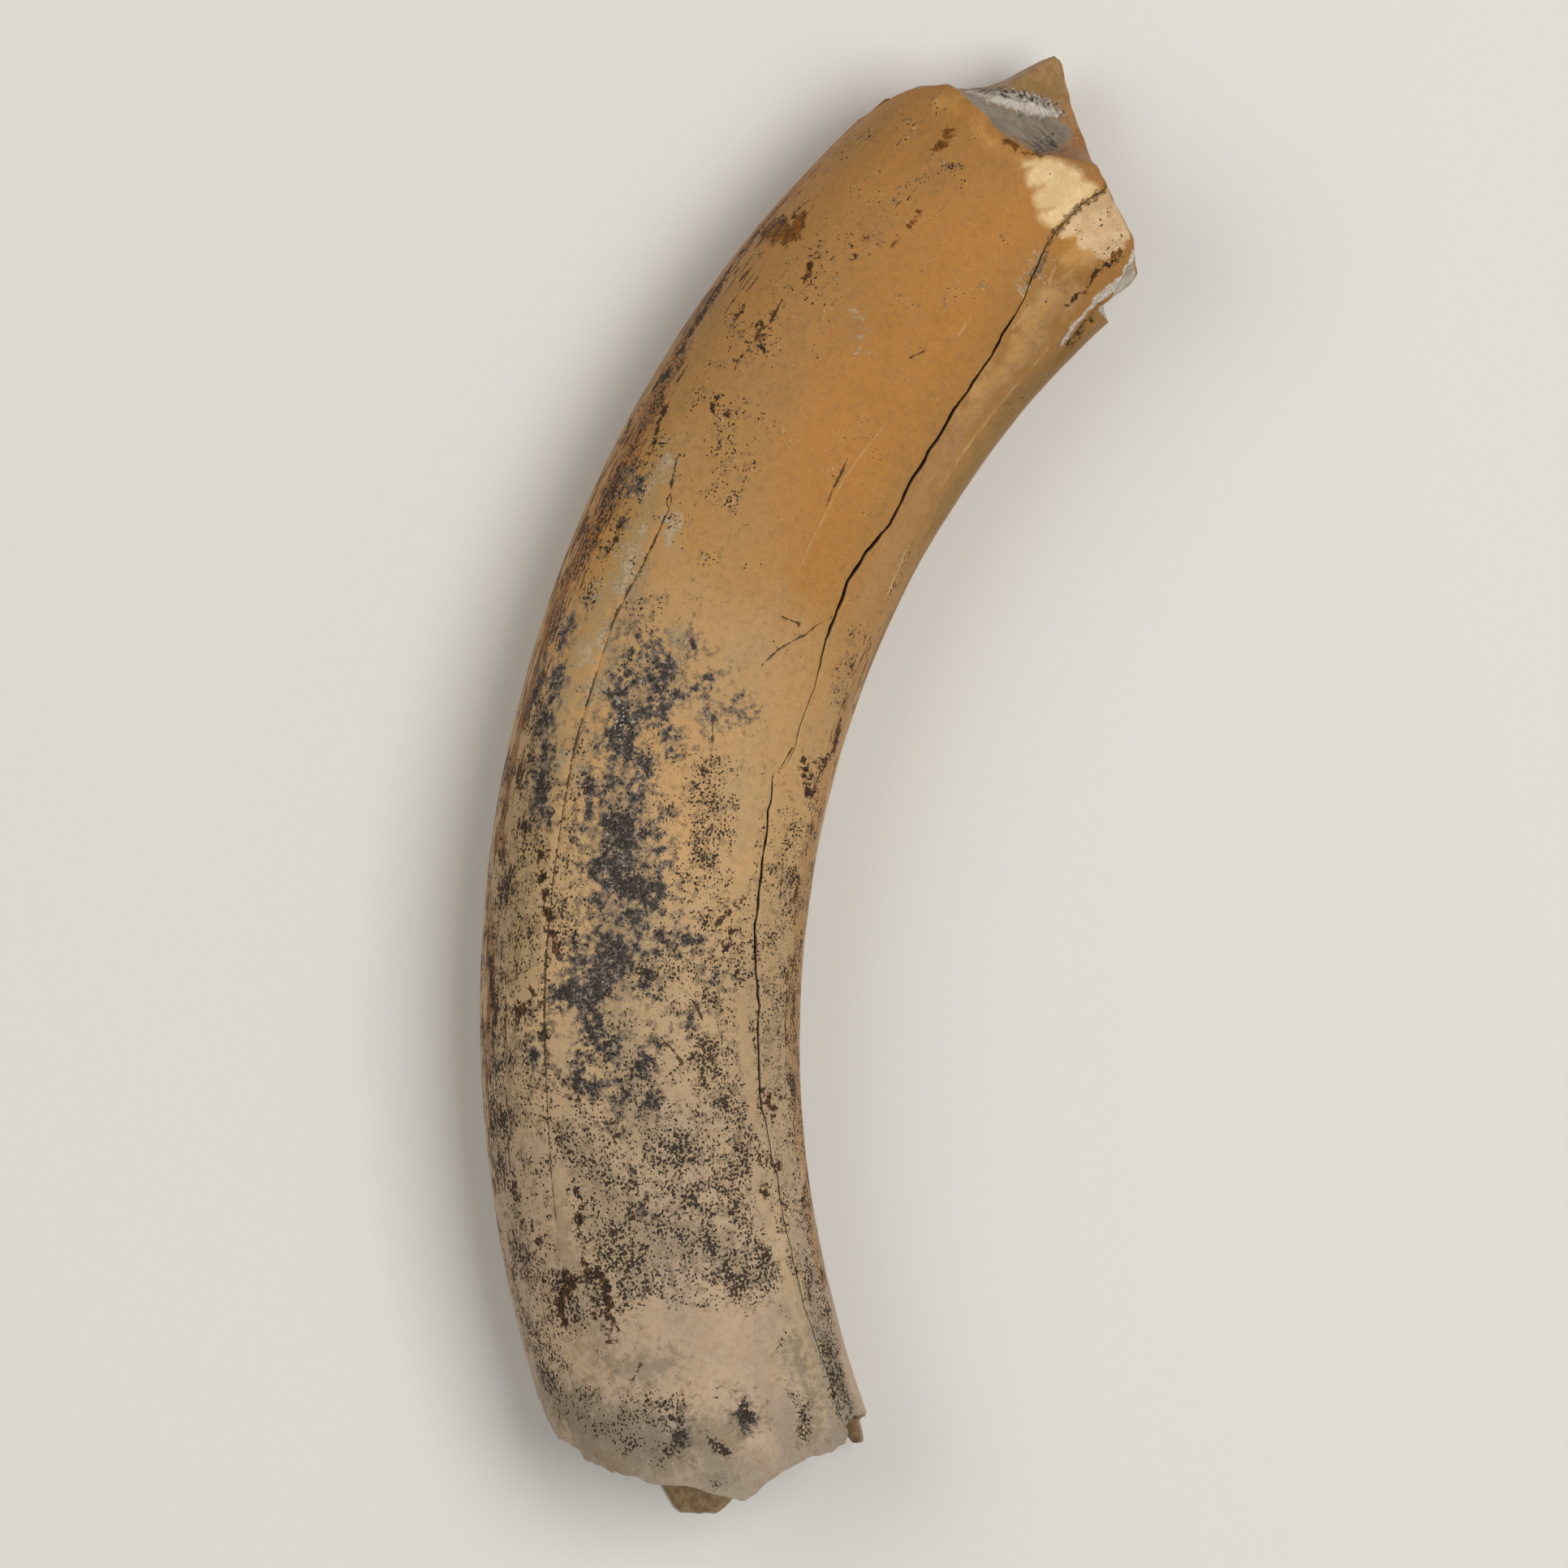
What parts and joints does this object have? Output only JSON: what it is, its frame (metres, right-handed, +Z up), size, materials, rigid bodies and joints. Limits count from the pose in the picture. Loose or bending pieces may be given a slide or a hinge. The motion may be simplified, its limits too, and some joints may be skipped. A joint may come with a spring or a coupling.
{
  "type": "fossil ground sloth tooth",
  "caption": "Long curved fossil tooth lying on its side, with an open pulp cavity at the root, a worn pointed crown and a crack along its upper face.",
  "frame": {"origin": "middle of the bounding box, on the surface that the tooth lies on", "axes": "+Y from the root end to the crown end, +X towards the inside of the curve at the crown, +Z up from the surface"},
  "size_m": [0.0806, 0.1797, 0.0276],
  "materials": {
    "fossil_dentine": "mineralised dentine, amber to grey-beige with black and brown mineral stains, satin where it is smooth"
  },
  "bodies": {
    "root": {"tooth": "fossil_dentine"}
  },
  "joints": []
}
